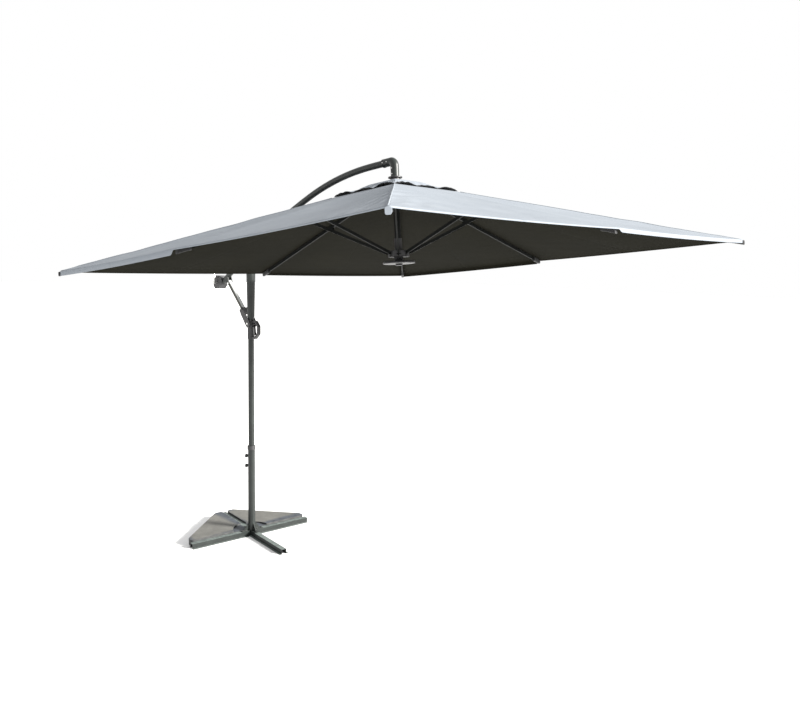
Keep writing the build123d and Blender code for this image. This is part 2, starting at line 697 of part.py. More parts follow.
with BuildPart() as elbow:
    with BuildLine(side_plane()) as elbow_path:
        inlet = Line(from_elbow(-ELBOW_SOCKET), from_elbow(-ELBOW_BEND))
        turn = JernArc(inlet @ 1, inlet % 1, ELBOW_BEND, -90)
        Line(turn @ 1, from_elbow(0, ELBOW_RISE - ELBOW_FOOT))
    elbow_mouth = Plane(origin=elbow_path.line @ 0, z_dir=elbow_path.line % 0)
    with BuildSketch(elbow_mouth):
        Circle(ELBOW_R)
    sweep(path=elbow_path.line)
    with BuildSketch(elbow_mouth):
        Circle(ELBOW_R + 1.5)
    extrude(amount=10)
    with BuildSketch(elbow_mouth):
        Circle(POLE_R)
    sweep(path=elbow_path.line, mode=Mode.SUBTRACT)
    with BuildSketch(elbow_mouth):
        Circle(ARM_R)
    extrude(amount=ELBOW_SOCKET - ELBOW_BEND - 2, mode=Mode.SUBTRACT)
    with BuildSketch(side_plane(ELBOW_R + 2)):
        with Locations(*SCREW_PLACES):
            Circle(2.0)
    extrude(amount=2 * ELBOW_R + 4, mode=Mode.SUBTRACT)
    for start in (ELBOW_R + 4, -24.8):
        with BuildSketch(side_plane(start)):
            with Locations(*SCREW_PLACES):
                Circle(3.6)
        extrude(amount=ELBOW_R + 4 - 24.8, mode=Mode.SUBTRACT)
    with BuildSketch(side_plane(ELBOW_R + 2)):
        with Locations(PULLEY_CENTRE):
            Circle(PULLEY_PIN_R + RUNNING_FIT)
    extrude(amount=2 * ELBOW_R + 4, mode=Mode.SUBTRACT)
write(elbow.part, "elbow")

with BuildPart() as elbow_screws:
    for start, reach in ((27.6, 2.8), (-24.8, 2.8)):
        with BuildSketch(side_plane(start)):
            with Locations(*SCREW_PLACES):
                Circle(3.4)
        extrude(amount=reach)
    for start in (25.0, -21.3):
        with BuildSketch(side_plane(start)):
            with Locations(*SCREW_PLACES):
                Circle(2.0)
        extrude(amount=3.7)
write(elbow_screws.part, "elbow_screws")

with BuildPart() as elbow_pulley:
    for start, width, radius in PULLEY_STEPS:
        with BuildSketch(side_plane(start)):
            with Locations(PULLEY_CENTRE):
                Circle(radius)
        extrude(amount=width)
write(elbow_pulley.part, "elbow_pulley")

# ==================================================================================================
# Crown, centre pole and hub
# ==================================================================================================
HUB_AZIMUTHS = [45.0 * k for k in range(8)]
CORNERS = HUB_AZIMUTHS[1::2]


def slope_to(tip):
    """Slope of a rib from its pivot to its tip, in degrees."""
    return degrees(atan2(CROWN_PIVOT_Z - tip[1], tip[0] - PIVOT_R))


def joint_point(slope, joint):
    """Radius and height of a rib's strut pivot, in the canopy's frame."""
    s = radians(slope)
    radius = PIVOT_R + joint * cos(s) - JOINT_DROP * sin(s)
    return (radius, CROWN_PIVOT_Z - joint * sin(s) - JOINT_DROP * cos(s))


MID_SLOPE = slope_to(MID_TIP)
CORNER_SLOPE = slope_to(CORNER_TIP)
HUB_PIVOT_Z = 2 * joint_point(MID_SLOPE, MID_JOINT)[1] - CROWN_PIVOT_Z


def cut_hub_slots(low, high):
    """Radial slots for the flat ends of ribs or struts."""
    mouth = HUB_R + 5
    slot = [(HUB_SLOT_FLOOR, low - 1), (mouth, low - 1), (mouth, high + 1), (HUB_SLOT_FLOOR, high + 1)]
    for azimuth in HUB_AZIMUTHS:
        face = outline_face(rib_plane(azimuth, 0, 0, 0, HUB_SLOT / 2), slot)
        extrude(face, amount=HUB_SLOT, mode=Mode.SUBTRACT)


def cut_pin_holes(azimuths, height):
    """Blind cross holes for the pins in the flat ends."""
    for azimuth in azimuths:
        with BuildSketch(rib_plane(azimuth, PIVOT_R, height, 0, PIN_HALF + 0.3)) as hole:
            Circle(PIN_R + RUNNING_FIT)
        extrude(hole.sketch, amount=2 * PIN_HALF + 0.6, mode=Mode.SUBTRACT)


with BuildPart() as centre_pole:
    with BuildSketch(canopy_level(POLE_END)):
        Circle(POLE_R)
        Circle(POLE_R - 2, mode=Mode.SUBTRACT)
    extrude(amount=540 - POLE_END)
write(centre_pole.part, "centre_pole")

with BuildPart() as crown_flange:
    with BuildSketch(canopy_level(ELBOW_FOOT - 8)):
        Circle(FLANGE_R)
    extrude(amount=8)
    fillet(crown_flange.edges().filter_by(GeomType.CIRCLE), 2.0)
    with BuildSketch(canopy_level(ELBOW_FOOT - 10)):
        Circle(POLE_R)
    extrude(amount=20, mode=Mode.SUBTRACT)
write(crown_flange.part, "crown_flange")

with BuildPart() as crown_hub:
    with BuildSketch(canopy_level(CROWN_PIVOT_Z - 20)):
        Circle(HUB_R)
    extrude(amount=36)
    with BuildSketch(canopy_level(CROWN_PIVOT_Z)):
        Circle(30.0)
    extrude(amount=ELBOW_FOOT - 8 - CROWN_PIVOT_Z)
    cut_hub_slots(CROWN_PIVOT_Z - 20, CROWN_PIVOT_Z + 16)
    cut_pin_holes(HUB_AZIMUTHS, CROWN_PIVOT_Z)
    with BuildSketch(canopy_level(CROWN_PIVOT_Z - 30)):
        Circle(POLE_R)
    extrude(amount=100, mode=Mode.SUBTRACT)
write(crown_hub.part, "crown_hub")

HUB_LOW = HUB_PIVOT_Z - 16
HUB_HIGH = HUB_PIVOT_Z + 21

with BuildPart() as lower_hub:
    with BuildSketch(canopy_level(HUB_LOW)):
        Circle(HUB_R)
    extrude(amount=HUB_HIGH - HUB_LOW)
    with BuildSketch(canopy_level(HUB_LOW)):
        Circle(SLEEVE_R)
    extrude(amount=SLEEVE_TOP - HUB_LOW)
    cut_hub_slots(HUB_LOW, HUB_HIGH)
    cut_pin_holes([a for a in HUB_AZIMUTHS if a not in CORNERS], HUB_PIVOT_Z)
    for azimuth in CORNERS:
        with BuildSketch(rib_plane(azimuth, PIVOT_R, HUB_PIVOT_Z, 0, PIN_HALF + 1)):
            Circle(PIN_R + 1)
            with Locations((15, 0)):
                Rectangle(30, 2 * PIN_R + 2)
        extrude(amount=2 * PIN_HALF + 2, mode=Mode.SUBTRACT)
    with BuildSketch(canopy_level(POLE_END - 6)):
        Circle(POLE_R + 0.3)
    extrude(amount=200, mode=Mode.SUBTRACT)
write(lower_hub.part, "lower_hub")

with BuildPart() as hub_cover:
    with BuildSketch(canopy_level(HUB_LOW)):
        Circle(28.0)
    extrude(amount=-34)
    with BuildSketch(canopy_level(HUB_LOW - 28)):
        Circle(COVER_R)
    extrude(amount=-14)
    rim_edges = hub_cover.edges().filter_by(GeomType.CIRCLE).filter_by(lambda edge: edge.radius > COVER_R - 1)
    fillet(rim_edges, 5.0)
    with BuildSketch(canopy_level(HUB_LOW - 40)):
        Circle(22.0)
    extrude(amount=-12)
write(hub_cover.part, "hub_cover")


# ==================================================================================================
# Ribs and struts
# ==================================================================================================
def rib_across(azimuth, radius, z, slope, distance):
    """Plane across a rib or strut: local x is sideways, local y is up, the normal runs out along it."""
    along = rib_plane(azimuth, radius, z, slope)
    return Plane(origin=along.origin + along.x_dir * distance, x_dir=-along.z_dir, z_dir=along.x_dir)


def plugged_tube(place, start, end, width, height, plugs):
    """Thin box tube with a solid plug inside its ends, where the flat end is riveted in."""
    with BuildSketch(rib_across(*place, start)) as wall:
        Rectangle(width, height)
        Rectangle(width - 2 * TUBE_WALL, height - 2 * TUBE_WALL, mode=Mode.SUBTRACT)
    extrude(wall.sketch, amount=end - start)
    for plug_start in plugs:
        with BuildSketch(rib_across(*place, plug_start)) as filling:
            Rectangle(width - 2 * TUBE_WALL, height - 2 * TUBE_WALL)
        extrude(filling.sketch, amount=PLUG)


def flat_end(place, pivot, tube_start, hole):
    """Flat tongue from a pivot to the tube's plug, with a cross pin or a hole for one."""
    with BuildSketch(rib_plane(*place, TONGUE / 2)) as tongue:
        with Locations((pivot, 0)):
            Circle(TONGUE_R)
        with Locations(((pivot + tube_start) / 2, 0)):
            Rectangle(abs(tube_start - pivot) + 2, 2 * TONGUE_R)
        if hole:
            with Locations((pivot, 0)):
                Circle(PIN_R + RUNNING_FIT, mode=Mode.SUBTRACT)
    extrude(tongue.sketch, amount=TONGUE)
    if not hole:
        with BuildSketch(rib_plane(*place, PIN_HALF)) as pin:
            with Locations((pivot, 0)):
                Circle(PIN_R)
        extrude(pin.sketch, amount=2 * PIN_HALF)


def strut_ears(place, joint):
    """Two ears under a rib and the pin across them that the strut hangs on."""
    for side in (TONGUE / 2 + 3.0, -TONGUE / 2 - 0.5):
        with BuildSketch(rib_plane(*place, side)) as ear:
            with BuildLine():
                Polyline((joint - 8, -JOINT_DROP), (joint - 13, 0.4 - RIB_HEIGHT / 2),
                         (joint + 13, 0.4 - RIB_HEIGHT / 2), (joint + 8, -JOINT_DROP), close=True)
            make_face()
            with Locations((joint, -JOINT_DROP)):
                Circle(8.0)
        extrude(ear.sketch, amount=2.5)
    with BuildSketch(rib_plane(*place, TONGUE / 2 + 4)) as pin:
        with Locations((joint, -JOINT_DROP)):
            Circle(PIN_R)
    extrude(pin.sketch, amount=TONGUE + 8)


def end_cap(place, end):
    """Plastic cap in the open end of a rib."""
    with BuildSketch(rib_across(*place, end + 0.1)) as cap:
        RectangleRounded(RIB_WIDTH + 4, RIB_HEIGHT + 2, 3.0)
    extrude(cap.sketch, amount=16)
    with BuildSketch(rib_across(*place, end + 0.1)) as plug:
        Rectangle(RIB_WIDTH - 2 * TUBE_WALL - 0.2, RIB_HEIGHT - 2 * TUBE_WALL - 0.2)
    extrude(plug.sketch, amount=-PLUG)


CAP_ROOM = 24.0

for k, azimuth in enumerate(HUB_AZIMUTHS):
    corner = azimuth in CORNERS
    slope, tip = (CORNER_SLOPE, CORNER_TIP) if corner else (MID_SLOPE, MID_TIP)
    joint = CORNER_JOINT if corner else MID_JOINT
    rib_place = (azimuth, PIVOT_R, CROWN_PIVOT_Z, slope)
    rib_end = hypot(tip[0] - PIVOT_R, CROWN_PIVOT_Z - tip[1]) - CAP_ROOM
    with BuildPart() as rib:
        plugged_tube(rib_place, RIB_TUBE_START, rib_end, RIB_WIDTH, RIB_HEIGHT, (RIB_TUBE_START,))
        flat_end(rib_place, 0, RIB_TUBE_START, hole=False)
        strut_ears(rib_place, joint)
        end_cap(rib_place, rib_end)
    write(rib.part, f"rib_{k + 1}")

    joint_radius, joint_z = joint_point(slope, joint)
    reach = hypot(joint_radius - PIVOT_R, joint_z - HUB_PIVOT_Z)
    rise = degrees(atan2(joint_z - HUB_PIVOT_Z, joint_radius - PIVOT_R))
    strut_place = (azimuth, PIVOT_R, HUB_PIVOT_Z, -rise)
    tube_end = reach - STRUT_TUBE_INSET
    with BuildPart() as strut:
        plugged_tube(strut_place, STRUT_TUBE_INSET, tube_end, STRUT_WIDTH, STRUT_HEIGHT,
                     (STRUT_TUBE_INSET, tube_end - PLUG))
        flat_end(strut_place, 0, STRUT_TUBE_INSET, hole=False)
        flat_end(strut_place, reach, tube_end, hole=True)
    write(strut.part, f"strut_{k + 1}")


# ==================================================================================================
# Fabric: eight panels, each cut on the lines half-way between two ribs, with its piece of the vent cap
# ==================================================================================================
RIM_Z = MID_TIP[1] + RIB_HEIGHT / 2 + FABRIC_CLEARANCE
MAIN_RISE = (FABRIC_APEX - RIM_Z) / CANOPY_HALF


def face_plane(azimuth, apex, rise):
    """Plane of one side of a four-sided canopy: local x runs down it from the apex."""
    a, s = radians(azimuth), atan(rise)
    x_dir = canopy_dir(cos(a) * cos(s), sin(a) * cos(s), -sin(s))
    z_dir = canopy_dir(cos(a) * sin(s), sin(a) * sin(s), cos(s))
    return Plane(origin=canopy_point(0, 0, apex), x_dir=x_dir, z_dir=z_dir)


def cloth(azimuth, apex, rise, inner, outer, low, high):
    """Thin sheet on one side of the canopy, between two distances from the pole and two sideways ratios."""
    stretch = 1 / cos(atan(rise))
    corners = [(inner, low), (outer, low), (outer, high), (inner, high)]
    points = [(x * stretch, x * ratio) for x, ratio in corners]
    extrude(outline_face(face_plane(azimuth, apex, rise), points), amount=-FABRIC)


SHEETS = ((FABRIC_APEX, MAIN_RISE, VENT_HOLE, CANOPY_HALF), (VENT_APEX, VENT_RISE, VENT_NECK, VENT_HALF))

for k, azimuth in enumerate(HUB_AZIMUTHS):
    with BuildPart() as panel:
        for apex, rise, inner, outer in SHEETS:
            if azimuth in CORNERS:
                cloth(azimuth - 45, apex, rise, inner, outer, 0.5, 1.0)
                cloth(azimuth + 45, apex, rise, inner, outer, -1.0, -0.5)
            else:
                cloth(azimuth, apex, rise, inner, outer, -0.5, 0.5)
    write(panel.part, f"canopy_panel_{k + 1}")
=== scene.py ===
"""Cantilever parasol: fabric, finishes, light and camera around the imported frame. Metres, +Z up."""

import json
from math import atan, cos, pi, radians, sin, sqrt

import bmesh
import bpy
from mathutils import Matrix, Vector, noise


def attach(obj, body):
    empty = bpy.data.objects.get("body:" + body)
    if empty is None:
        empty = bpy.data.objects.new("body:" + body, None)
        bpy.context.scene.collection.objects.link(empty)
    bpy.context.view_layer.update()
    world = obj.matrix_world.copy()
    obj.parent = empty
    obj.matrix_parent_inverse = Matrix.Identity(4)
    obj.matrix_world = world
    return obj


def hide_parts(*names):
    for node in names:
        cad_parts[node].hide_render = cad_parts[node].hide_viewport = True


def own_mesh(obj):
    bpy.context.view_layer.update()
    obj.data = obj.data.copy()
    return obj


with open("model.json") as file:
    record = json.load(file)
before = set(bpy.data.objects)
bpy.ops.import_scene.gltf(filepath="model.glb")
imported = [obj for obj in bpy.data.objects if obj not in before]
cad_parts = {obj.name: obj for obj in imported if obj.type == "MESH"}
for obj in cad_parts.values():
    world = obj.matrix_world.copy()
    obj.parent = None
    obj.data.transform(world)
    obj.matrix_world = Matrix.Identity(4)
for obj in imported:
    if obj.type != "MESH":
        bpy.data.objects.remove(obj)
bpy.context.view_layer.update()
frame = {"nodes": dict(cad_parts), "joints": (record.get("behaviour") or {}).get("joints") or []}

# ---- driving sizes in the canopy's own frame: crown pivots at z = 0, +X to the outer side ----
CANOPY_HALF = 1.5
APEX = 0.028
RISE = 0.3047
CLOTH = 0.0012
VENT_HOLE = 0.23
CAP_HALF = 0.27
CAP_NECK = 0.046
CAP_APEX = 0.044
CAP_RISE = 0.26
CAP_LIFT = 0.019
SCALLOPS = 3
SAG = 0.016
EDGE_BOW = 0.008
HEM_DROP = 0.006
HEM_LOW = {0: 0.020, 90: 0.026, 180: 0.017, 270: 0.029}
HEM_STEP = 0.03
HEM_WIDTH = 0.035
CORNER_CUT = 0.012
CORNER_CAP = 0.02
POCKET_LENGTH = 0.075
RIB_PIVOT_R = 0.052
MID_RIB_SLOPE = 0.3074
CORNER_RIB_SLOPE = 0.2147
PALE_POCKET = 8
TUCK = 0.002
ROWS = 76
COLUMNS = 64
RIB_COUNT = 8

# ---- ballast slabs, in the part's frame ----
SLAB_TOP = max(vertex.co.z for vertex in frame["nodes"]["slab_casing_left"].data.vertices)
SLAB_STEP_LEVEL = SLAB_TOP - 0.006
SLAB_MIDDLE = 0.264
SLAB_SPAN = 0.482


# =================================================================================================
# Camera, floor and light
# =================================================================================================
def make_camera():
    """Camera at the photograph's viewing angle."""
    yaw, pitch, roll = radians(135.655), radians(-7.085), radians(1.221)
    forward = Vector((cos(yaw) * cos(pitch), sin(yaw) * cos(pitch), sin(pitch)))
    right = forward.cross(Vector((0, 0, 1))).normalized()
    up = right.cross(forward)
    across = right * cos(roll) + up * sin(roll)
    above = up * cos(roll) - right * sin(roll)
    data = bpy.data.cameras.new("camera")
    data.lens = 33.07
    data.sensor_width = 36.0
    camera = bpy.data.objects.new("camera", data)
    turn = Matrix((across, above, -forward)).transposed().to_4x4()
    camera.matrix_world = Matrix.Translation((4.9572, -3.1952, 2.2184)) @ turn
    bpy.context.scene.collection.objects.link(camera)
    bpy.context.scene.camera = camera


def make_floor():
    """Large pale floor."""
    mesh = bpy.data.meshes.new("floor")
    reach = 60.0
    corners = [(-reach, -reach, 0), (reach, -reach, 0), (reach, reach, 0), (-reach, reach, 0)]
    mesh.from_pydata(corners, [], [(0, 1, 2, 3)])
    floor = bpy.data.objects.new("floor", mesh)
    bpy.context.scene.collection.objects.link(floor)
    pale = bpy.data.materials.new("floor")
    pale.use_nodes = True
    shader = pale.node_tree.nodes["Principled BSDF"]
    shader.inputs["Base Color"].default_value = (0.86, 0.86, 0.86, 1)
    shader.inputs["Roughness"].default_value = 0.9
    mesh.materials.append(pale)


def add_area(name, place, target, size, watts, color):
    """Soft square light aimed at a point."""
    data = bpy.data.lights.new(name, "AREA")
    data.size = size
    data.energy = watts
    data.color = color
    light = bpy.data.objects.new(name, data)
    aim = (Vector(target) - Vector(place)).to_track_quat("-Z", "Y")
    light.matrix_world = Matrix.Translation(place) @ aim.to_matrix().to_4x4()
    bpy.context.scene.collection.objects.link(light)


def make_light():
    """White sky, a low soft key from the outer right and a cool fill from the left."""
    world = bpy.data.worlds.new("sky")
    bpy.context.scene.world = world
    world.use_nodes = True
    sky = world.node_tree.nodes["Background"]
    sky.inputs["Color"].default_value = (1.0, 1.0, 1.0, 1)
    sky.inputs["Strength"].default_value = 1.0
    key = bpy.data.lights.new("key", "SUN")
    key.energy = 15.0
    key.angle = radians(14)
    key.color = (1.0, 0.98, 0.94)
    lamp = bpy.data.objects.new("key", key)
    azimuth, elevation = radians(30), radians(20)
    toward = Vector((cos(azimuth) * cos(elevation), sin(azimuth) * cos(elevation), sin(elevation)))
    lamp.matrix_world = toward.to_track_quat("Z", "Y").to_matrix().to_4x4()
    bpy.context.scene.collection.objects.link(lamp)
    add_area("fill", (1.0, -8.0, 3.2), (0.6, 0, 1.6), 5.0, 15, (0.9, 0.95, 1.0))
    bpy.context.scene.view_settings.view_transform = "Standard"


# =================================================================================================
# Materials
# =================================================================================================
class Finish:
    """A procedural material under construction: a principled shader and short ways to wire it."""

    def __init__(self, name, roughness, metallic=0.0, color=(0.5, 0.5, 0.5)):
        self.material = bpy.data.materials.new(name)
        self.material.use_nodes = True
        self.tree = self.material.node_tree
        self.shader = self.tree.nodes["Principled BSDF"]
        self.set("Roughness", roughness)
        self.set("Metallic", metallic)
        self.set("Base Color", (*color, 1))
        self.material.diffuse_color = (*color, 1)

    def set(self, socket, value):
        """Uniform value on the shader's own socket."""
        self.shader.inputs[socket].default_value = value

    def node(self, kind, **inputs):
        """New node with values or links on its named inputs."""
        made = self.tree.nodes.new(kind)
        for key, value in inputs.items():
            self.feed(made.inputs[key.replace("_", " ")], value)
        return made

    def feed(self, socket, value):
        """Link an output to a socket, or set its value."""
        if isinstance(value, bpy.types.NodeSocket):
            self.tree.links.new(value, socket)
        else:
            socket.default_value = value

    def place(self, stretch=(1, 1, 1), turn=(0, 0, 0), source="Object"):
        """Coordinates in metres, stretched and turned."""
        coordinates = self.node("ShaderNodeTexCoord")
        mapping = self.node("ShaderNodeMapping", Vector=coordinates.outputs[source])
        mapping.inputs["Scale"].default_value = stretch
        mapping.inputs["Rotation"].default_value = turn
        return mapping.outputs["Vector"]

    def noise(self, scale, detail=4.0, stretch=(1, 1, 1), turn=(0, 0, 0), source="Object"):
        """Noise from 0 to 1 over the surface."""
        made = self.node("ShaderNodeTexNoise", Vector=self.place(stretch, turn, source))
        made.inputs["Scale"].default_value = scale
        made.inputs["Detail"].default_value = detail
        return made.outputs["Fac"]

    def ramp(self, value, low, high, low_at=0.35, high_at=0.65):
        """Blend of two colours by a value."""
        made = self.node("ShaderNodeValToRGB", Fac=value)
        ends = made.color_ramp.elements
        ends[0].position, ends[1].position = low_at, high_at
        ends[0].color, ends[1].color = (*low, 1), (*high, 1)
        return made.outputs["Color"]

    def math(self, operation, first, second=0.0):
        """One arithmetic step."""
        made = self.tree.nodes.new("ShaderNodeMath")
        made.operation = operation
        self.feed(made.inputs[0], first)
        self.feed(made.inputs[1], second)
        return made.outputs[0]

    def mix(self, amount, first, second):
        """Blend of two colours."""
        made = self.tree.nodes.new("ShaderNodeMix")
        made.data_type = "RGBA"
        self.feed(made.inputs["Factor"], amount)
        self.feed(made.inputs[6], first if isinstance(first, bpy.types.NodeSocket) else (*first, 1))
        self.feed(made.inputs[7], second if isinstance(second, bpy.types.NodeSocket) else (*second, 1))
        return made.outputs[2]

    def upward(self, low=0.55, high=0.9):
        """1 on faces that look up, 0 on the others."""
        geometry = self.node("ShaderNodeNewGeometry")
        parts = self.node("ShaderNodeSeparateXYZ", Vector=geometry.outputs["Normal"])
        made = self.node("ShaderNodeMapRange", Value=parts.outputs["Z"])
        made.inputs["From Min"].default_value = low
        made.inputs["From Max"].default_value = high
        return made.outputs["Result"]

    def dusty_area(self):
        """1 on the raised middle of a ballast slab, 0 near its edges and on its low quarter-round step."""
        parts = self.node("ShaderNodeSeparateXYZ", Vector=self.place())
        margins = []
        for axis in ("X", "Y"):
            off_centre = self.math("SUBTRACT", self.math("ABSOLUTE", parts.outputs[axis]), SLAB_MIDDLE)
            margins.append(self.math("SUBTRACT", SLAB_SPAN / 2, self.math("ABSOLUTE", off_centre)))
        ragged = self.math("MULTIPLY", self.math("SUBTRACT", self.noise(16.0, 5.0), 0.5), 0.05)
        made = self.node("ShaderNodeMapRange", Value=self.math("ADD", self.math("MINIMUM", *margins), ragged))
        made.inputs["From Min"].default_value = 0.012
        made.inputs["From Max"].default_value = 0.05
        raised = self.math("GREATER_THAN", parts.outputs["Z"], SLAB_STEP_LEVEL)
        return self.math("MULTIPLY", made.outputs["Result"], raised)

    def color(self, value):
        """Link the base colour."""
        self.feed(self.shader.inputs["Base Color"], value)
        return self

    def roughness(self, value, low, high):
        """Vary the roughness between two numbers."""
        made = self.node("ShaderNodeMapRange", Value=value)
        made.inputs["To Min"].default_value = low
        made.inputs["To Max"].default_value = high
        self.feed(self.shader.inputs["Roughness"], made.outputs["Result"])
        return self

    def bump(self, height, strength, distance):
        """Add relief, on top of any relief already there."""
        made = self.node("ShaderNodeBump", Height=height)
        made.inputs["Strength"].default_value = strength
        made.inputs["Distance"].default_value = distance
        before = self.shader.inputs["Normal"].links
        if before:
            self.tree.links.new(before[0].from_socket, made.inputs["Normal"])
        self.tree.links.new(made.outputs["Normal"], self.shader.inputs["Normal"])
        return self


def powder_coat(name, dark, light, roughness=0.42, dust=(0.07, 0.075, 0.068), dust_and_sheen_amount=0.35,
                specular=0.3):
    """Satin powder coat with orange peel, faint handling marks and a pale colour where it faces up: dust on
    the frame, and a painted sky highlight on the legs' flanges and top edges.
    """
    finish = Finish(name, roughness, color=light)
    marks = finish.ramp(finish.noise(9.0, 6.0), dark, light, 0.3, 0.7)
    # Upward faces take the dust colour: real dust on the frame coat, a painted sky highlight on the leg coat.
    settled = finish.math("MULTIPLY", finish.upward(), finish.noise(35.0, 5.0))
    finish.color(finish.mix(finish.math("MULTIPLY", settled, dust_and_sheen_amount), marks, dust))
    finish.roughness(finish.noise(60.0, 3.0), roughness - 0.08, roughness + 0.12)
    finish.set("Specular IOR Level", specular)
    finish.set("Coat Weight", 0.25 * specular)
    finish.set("Coat Roughness", 0.3)
    return finish.bump(finish.noise(900.0, 2.0), 0.12, 0.0004).material


def brushed(name, color, roughness, stretch, scale=180.0):
    """Bare metal with lines along one direction and slightly cloudy reflections."""
    finish = Finish(name, roughness, 1.0, color)
    lines = finish.noise(scale, 3.0, stretch)
    dull = tuple(0.72 * channel for channel in color)
    finish.color(finish.ramp(finish.noise(14.0, 5.0), dull, color, 0.25, 0.6))
    finish.roughness(lines, roughness - 0.08, roughness + 0.16)
    return finish.bump(lines, 0.08, 0.0003).material


def moulded(name, dark, light, roughness, grain=420.0, strength=0.25):
    """Moulded plastic with a fine grain, dusty where it faces up."""
    finish = Finish(name, roughness, color=light)
    tone = finish.ramp(finish.noise(16.0, 4.0), dark, light)
    settled = finish.math("MULTIPLY", finish.upward(0.6, 0.95), finish.noise(50.0, 4.0))
    finish.color(finish.mix(finish.math("MULTIPLY", settled, 0.3), tone, (0.16, 0.16, 0.155)))
    finish.roughness(finish.noise(45.0, 3.0), roughness - 0.06, roughness + 0.1)
    return finish.bump(finish.noise(grain, 3.0), strength, 0.0004).material


def strut_highlight_finish(name):
    """Extrusion with bright upward faces and dark olive sides, with fine lines along it: the bright faces are
    partly bare metal and partly a painted sky highlight, the dark sides partly painted shade.
    """
    finish = Finish(name, 0.4, color=(0.5, 0.5, 0.48))
    lines = finish.noise(220.0, 3.0, (1, 1, 0.06))
    bright = finish.ramp(lines, (0.30, 0.31, 0.305), (0.42, 0.43, 0.425))
    dark = finish.ramp(finish.noise(14.0, 4.0), (0.018, 0.018, 0.014), (0.035, 0.035, 0.028))
    # Painted highlight: faces that look up get the bright tone, the others the dark one, by the direction each
    # face points.
    finish.color(finish.mix(finish.upward(0.25, 0.5), dark, bright))
    finish.set("Specular IOR Level", 0.3)
    finish.roughness(lines, 0.34, 0.5)
    return finish.bump(lines, 0.08, 0.0003).material


def slab_plastic(name):
    """Ballast casing: dark textured sides under a dusty, faded grey-beige top with rain marks."""
    finish = Finish(name, 0.7, color=(0.2, 0.19, 0.17))
    side = finish.ramp(finish.noise(20.0, 4.0), (0.018, 0.019, 0.02), (0.04, 0.041, 0.042))
    dust = finish.ramp(finish.noise(11.0, 7.0), (0.070, 0.069, 0.062), (0.128, 0.126, 0.115), 0.3, 0.72)
    specks = finish.ramp(finish.noise(260.0, 2.0), (0.037, 0.037, 0.035), (0.14, 0.138, 0.127), 0.28, 0.5)
    clean = finish.ramp(finish.noise(24.0, 4.0), (0.030, 0.035, 0.043), (0.058, 0.066, 0.078))
    top = finish.mix(finish.dusty_area(), clean, finish.mix(0.3, dust, specks))
    finish.color(finish.mix(finish.upward(0.5, 0.85), side, top))
    finish.roughness(finish.noise(30.0, 5.0), 0.55, 0.85)
    finish.bump(finish.noise(300.0, 3.0), 0.35, 0.0006)
    return finish.bump(finish.noise(7.0, 2.0), 0.2, 0.002).material


def cast_stone(name):
    """Grey cast concrete with pores."""
    finish = Finish(name, 0.9, color=(0.42, 0.41, 0.39))
    finish.color(finish.ramp(finish.noise(30.0, 8.0), (0.3, 0.295, 0.28), (0.5, 0.49, 0.47)))
    return finish.bump(finish.noise(150.0, 6.0), 0.5, 0.001).material


def woven(name, dark, light, roughness, weave=0.0011, sheen=0.1, relief=0.35, specular=0.3):
    """Plain-woven polyester: crossed threads in the cloth's own coordinates, slubs and soft creases."""
    finish = Finish(name, roughness, color=light)
    finish.set("Sheen Weight", sheen)
    finish.set("Sheen Roughness", 0.45)
    finish.set("Specular IOR Level", specular)
    place = finish.place((1 / weave, 1 / weave, 1), source="UV")
    parts = finish.node("ShaderNodeSeparateXYZ", Vector=place)
    warp = finish.math("SINE", finish.math("MULTIPLY", parts.outputs["X"], 2 * pi))
    weft = finish.math("SINE", finish.math("MULTIPLY", parts.outputs["Y"], 2 * pi))
    threads = finish.math("MULTIPLY", warp, weft)
    slubs = finish.noise(260.0, 2.0, (1, 0.08, 1), source="UV")
    streaks = finish.noise(24.0, 5.0, (0.25, 1, 1), source="UV")
    cloudy = finish.noise(3.2, 5.0)
    base = finish.ramp(cloudy, dark, light, 0.25, 0.7)
    worn = finish.mix(finish.math("MULTIPLY", streaks, 0.18), base, tuple(0.7 * c for c in light))
    finish.color(finish.mix(finish.math("MULTIPLY", slubs, 0.12), worn, dark))
    finish.roughness(cloudy, roughness - 0.06, roughness + 0.06)
    finish.bump(finish.noise(16.0, 5.0, (1, 0.35, 1), source="UV"), relief, 0.006)
    return finish.bump(threads, 0.15, 0.0002).material


def netting(name):
    """Black mesh cloth."""
    finish = Finish(name, 0.85, color=(0.008, 0.008, 0.009))
    cells = finish.node("ShaderNodeTexVoronoi", Vector=finish.place((1, 1, 1), source="UV"))
    cells.inputs["Scale"].default_value = 400.0
    finish.color(finish.ramp(cells.outputs["Distance"], (0.003, 0.003, 0.004), (0.02, 0.02, 0.022)))
    return finish.bump(cells.outputs["Distance"], 0.4, 0.0006).material


ANTHRACITE = ((0.007, 0.009, 0.0085), (0.014, 0.018, 0.0165))
# Painted shade: the ribs, rib struts and centre pole get the anthracite at about half its brightness, for the
# shade under the canopy.
RIB_PAINTED_SHADE = ((0.004, 0.0045, 0.0042), (0.008, 0.009, 0.0085))
BLACK = ((0.010, 0.010, 0.011), (0.022, 0.022, 0.024))

coat = powder_coat("anthracite_coat", *ANTHRACITE)
